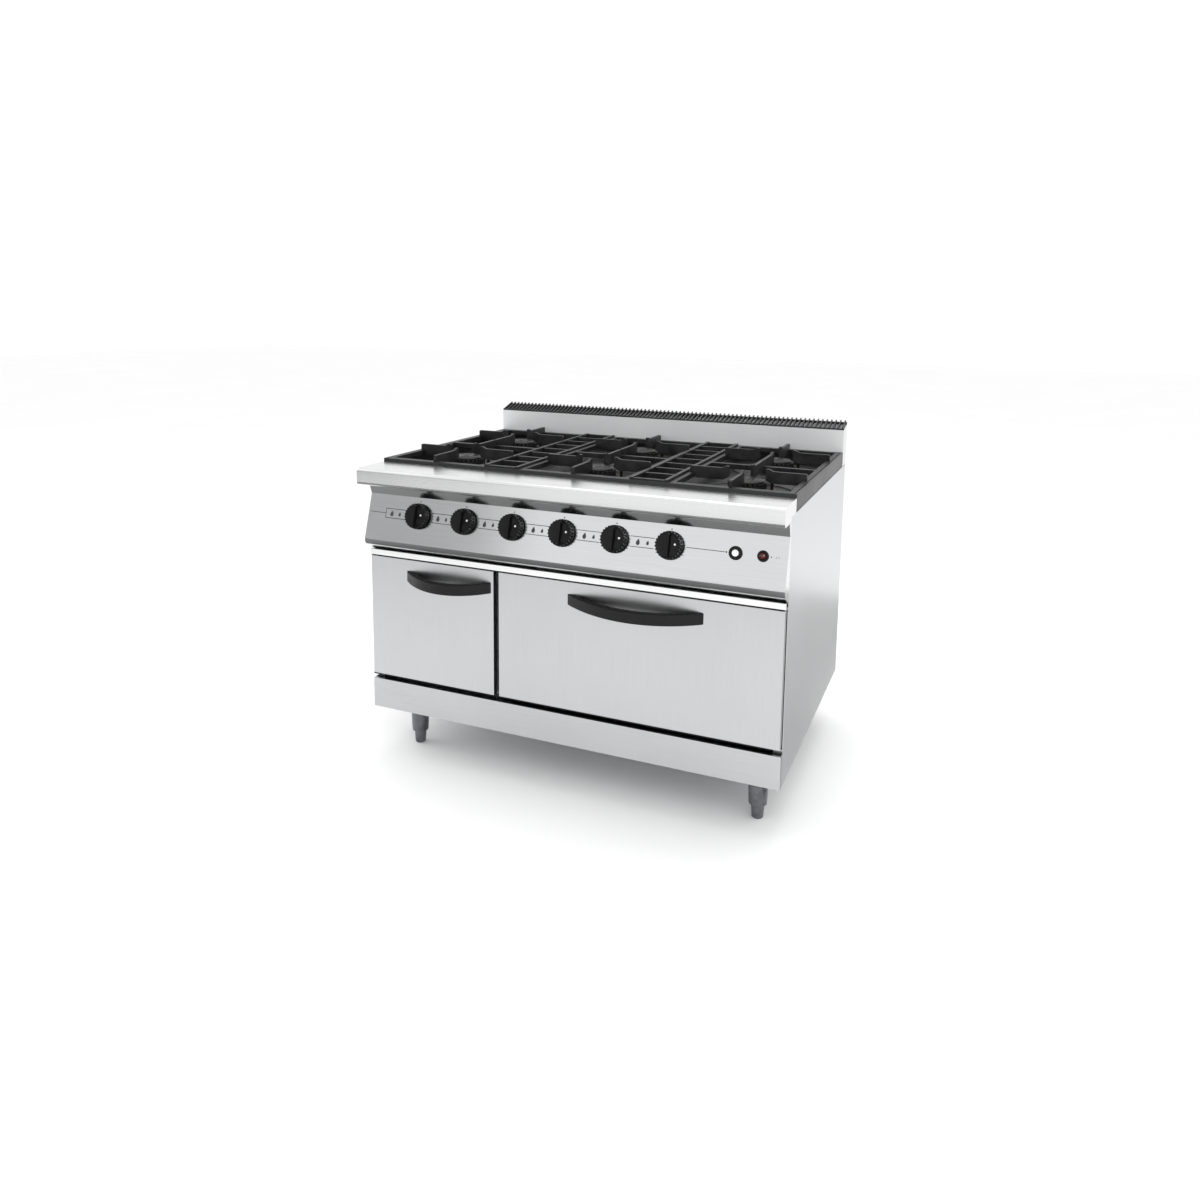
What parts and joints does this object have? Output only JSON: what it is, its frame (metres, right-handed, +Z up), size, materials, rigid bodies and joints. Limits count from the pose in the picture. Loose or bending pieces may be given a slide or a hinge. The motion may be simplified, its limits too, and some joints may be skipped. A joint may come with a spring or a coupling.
{
  "type": "commercial gas range",
  "caption": "Free-standing steel gas range with cast grates over open burners, a side-hinged cabinet, a drop-down oven door, knobs on a leaning panel and a rear flue riser.",
  "frame": {"origin": "on the floor under the middle of the range's bounding box", "axes": "+X to the right seen from the front, +Y to the back, +Z up"},
  "size_m": [1.2, 0.9, 0.97],
  "materials": {
    "stainless": "fine horizontal brushed grain, satin",
    "bright_stainless": "smoother bright satin steel on the ledge and trim",
    "galvanised": "dull zinc-coated sheet",
    "dark_frame": "matt dark heat-proof paint",
    "black_enamel": "glossy black vitreous enamel",
    "cast_iron": "sand-cast, blackened by heat",
    "burner_iron": "grey cast iron",
    "cap_iron": "machined and burnt dark",
    "brass": "turned brass",
    "pipe_steel": "zinc-plated steel pipe",
    "oven_enamel": "speckled grey oven enamel",
    "wire_chrome": "bright chrome-plated wire",
    "mineral_wool": "loose mineral wool",
    "seal_braid": "braided glass fibre rope",
    "black_plastic": "moulded black thermoset, satin",
    "leg_steel": "turned stainless steel",
    "lamp_red": "dark red translucent lens",
    "button_white": "pale moulded button",
    "screw_steel": "plain screw heads"
  },
  "bodies": {
    "range_body": {"side_panel_left": "stainless", "side_panel_right": "stainless", "rear_panel": "galvanised", "base_frame": "galvanised", "kick_panel": "stainless", "partition_wall": "galvanised", "front_frame": "dark_frame", "control_panel": "stainless", "trim_strip": "bright_stainless", "front_ledge": "bright_stainless", "hob_tray": "black_enamel", "flue_riser": "stainless", "flue_grille": "black_enamel", "burner_bodies": "burner_iron", "burner_caps": "cap_iron", "pilot_burners": "brass", "gas_pipework": "pipe_steel", "gas_valves": "brass", "oven_liner": "oven_enamel", "oven_floor": "oven_enamel", "rack_runners": "galvanised", "oven_burner": "pipe_steel", "oven_insulation": "mineral_wool", "leg_sockets": "leg_steel", "indicator_lamp": "lamp_red", "igniter_body": "black_plastic", "hinge_brackets": "dark_frame", "fasteners": "screw_steel"},
    "cabinet_door": {"cabinet_door_skin": "stainless", "cabinet_door_liner": "galvanised", "cabinet_door_handle": "black_plastic"},
    "oven_door": {"oven_door_skin": "stainless", "oven_door_liner": "oven_enamel", "oven_door_insulation": "mineral_wool", "oven_door_seal": "seal_braid", "oven_door_handle": "black_plastic"},
    "rack": {"oven_rack": "wire_chrome"},
    "button": {"ignition_button": "button_white"},
    "thermostat_knob": {"oven_control_knob": "black_plastic"},
    "spindle_1": {"valve_stem_1": "wire_chrome"},
    "burner_knob_1": {"knob_1": "black_plastic"},
    "spindle_2": {"valve_stem_2": "wire_chrome"},
    "burner_knob_2": {"knob_2": "black_plastic"},
    "spindle_3": {"valve_stem_3": "wire_chrome"},
    "burner_knob_3": {"knob_3": "black_plastic"},
    "spindle_4": {"valve_stem_4": "wire_chrome"},
    "burner_knob_4": {"knob_4": "black_plastic"},
    "spindle_5": {"valve_stem_5": "wire_chrome"},
    "burner_knob_5": {"knob_5": "black_plastic"},
    "spindle_6": {"valve_stem_6": "wire_chrome"},
    "burner_knob_6": {"knob_6": "black_plastic"},
    "pan_support_left": {"grate_left": "cast_iron"},
    "pan_support_middle": {"grate_middle": "cast_iron"},
    "pan_support_right": {"grate_right": "cast_iron"},
    "slat_strip_left": {"infill_strip_left": "cast_iron"},
    "slat_strip_right": {"infill_strip_right": "cast_iron"},
    "level_front_left": {"foot_front_left": "leg_steel"},
    "level_front_right": {"foot_front_right": "leg_steel"},
    "level_rear_left": {"foot_rear_left": "leg_steel"},
    "level_rear_right": {"foot_rear_right": "leg_steel"}
  },
  "joints": [
    {"name": "cabinet_door_hinge", "type": "hinge", "parent": "range_body", "child": "cabinet_door", "pos_m": [-0.59, -0.386, 0.428], "axis": [0, 0, -1], "range_deg": [0, 110]},
    {"name": "oven_door_hinge", "type": "hinge", "parent": "range_body", "child": "oven_door", "pos_m": [0.2015, -0.384, 0.262], "axis": [1, 0, 0], "range_deg": [0, 90]},
    {"name": "oven_rack_slide", "type": "slide", "parent": "range_body", "child": "rack", "axis": [0, -1, 0], "range_m": [0, 0.28]},
    {"name": "ignition_button_push", "type": "slide", "parent": "range_body", "child": "button", "axis": [0, 0.9583, -0.2859], "range_m": [0, 0.004], "stiffness_N_per_m": 600},
    {"name": "oven_control_knob_turn", "type": "hinge", "parent": "range_body", "child": "thermostat_knob", "pos_m": [-0.232, -0.336, 0.556], "axis": [0, -1, 0], "range_deg": [0, 270]},
    {"name": "knob_1_turn", "type": "hinge", "parent": "range_body", "child": "spindle_1", "pos_m": [-0.431, -0.39852, 0.734], "axis": [0, -0.9583, 0.2859], "range_deg": [0, 180]},
    {"name": "knob_1_push", "type": "slide", "parent": "spindle_1", "child": "burner_knob_1", "axis": [0, 0.9583, -0.2859], "range_m": [0, 0.004], "stiffness_N_per_m": 800},
    {"name": "knob_2_turn", "type": "hinge", "parent": "range_body", "child": "spindle_2", "pos_m": [-0.2835, -0.39852, 0.734], "axis": [0, -0.9583, 0.2859], "range_deg": [0, 180]},
    {"name": "knob_2_push", "type": "slide", "parent": "spindle_2", "child": "burner_knob_2", "axis": [0, 0.9583, -0.2859], "range_m": [0, 0.004], "stiffness_N_per_m": 800},
    {"name": "knob_3_turn", "type": "hinge", "parent": "range_body", "child": "spindle_3", "pos_m": [-0.136, -0.39852, 0.734], "axis": [0, -0.9583, 0.2859], "range_deg": [0, 180]},
    {"name": "knob_3_push", "type": "slide", "parent": "spindle_3", "child": "burner_knob_3", "axis": [0, 0.9583, -0.2859], "range_m": [0, 0.004], "stiffness_N_per_m": 800},
    {"name": "knob_4_turn", "type": "hinge", "parent": "range_body", "child": "spindle_4", "pos_m": [0.0115, -0.39852, 0.734], "axis": [0, -0.9583, 0.2859], "range_deg": [0, 180]},
    {"name": "knob_4_push", "type": "slide", "parent": "spindle_4", "child": "burner_knob_4", "axis": [0, 0.9583, -0.2859], "range_m": [0, 0.004], "stiffness_N_per_m": 800},
    {"name": "knob_5_turn", "type": "hinge", "parent": "range_body", "child": "spindle_5", "pos_m": [0.159, -0.39852, 0.734], "axis": [0, -0.9583, 0.2859], "range_deg": [0, 180]},
    {"name": "knob_5_push", "type": "slide", "parent": "spindle_5", "child": "burner_knob_5", "axis": [0, 0.9583, -0.2859], "range_m": [0, 0.004], "stiffness_N_per_m": 800},
    {"name": "knob_6_turn", "type": "hinge", "parent": "range_body", "child": "spindle_6", "pos_m": [0.3065, -0.39852, 0.734], "axis": [0, -0.9583, 0.2859], "range_deg": [0, 180]},
    {"name": "knob_6_push", "type": "slide", "parent": "spindle_6", "child": "burner_knob_6", "axis": [0, 0.9583, -0.2859], "range_m": [0, 0.004], "stiffness_N_per_m": 800},
    {"name": "grate_left_lift", "type": "slide", "parent": "range_body", "child": "pan_support_left", "axis": [0, 0, 1], "range_m": [0, 0.12]},
    {"name": "grate_middle_lift", "type": "slide", "parent": "range_body", "child": "pan_support_middle", "axis": [0, 0, 1], "range_m": [0, 0.12]},
    {"name": "grate_right_lift", "type": "slide", "parent": "range_body", "child": "pan_support_right", "axis": [0, 0, 1], "range_m": [0, 0.12]},
    {"name": "infill_strip_left_lift", "type": "slide", "parent": "range_body", "child": "slat_strip_left", "axis": [0, 0, 1], "range_m": [0, 0.12]},
    {"name": "infill_strip_right_lift", "type": "slide", "parent": "range_body", "child": "slat_strip_right", "axis": [0, 0, 1], "range_m": [0, 0.12]},
    {"name": "foot_front_left_turn", "type": "hinge", "parent": "range_body", "child": "level_front_left", "pos_m": [-0.521, -0.276, 0.02], "axis": [0, 0, 1], "continuous": true},
    {"name": "foot_front_right_turn", "type": "hinge", "parent": "range_body", "child": "level_front_right", "pos_m": [0.521, -0.276, 0.02], "axis": [0, 0, 1], "continuous": true},
    {"name": "foot_rear_left_turn", "type": "hinge", "parent": "range_body", "child": "level_rear_left", "pos_m": [-0.521, 0.344, 0.02], "axis": [0, 0, 1], "continuous": true},
    {"name": "foot_rear_right_turn", "type": "hinge", "parent": "range_body", "child": "level_rear_right", "pos_m": [0.521, 0.344, 0.02], "axis": [0, 0, 1], "continuous": true}
  ],
  "couplings": [
    {"joint": "oven_rack_slide", "follows": "oven_door_hinge", "m_per_rad": 0.17}
  ]
}
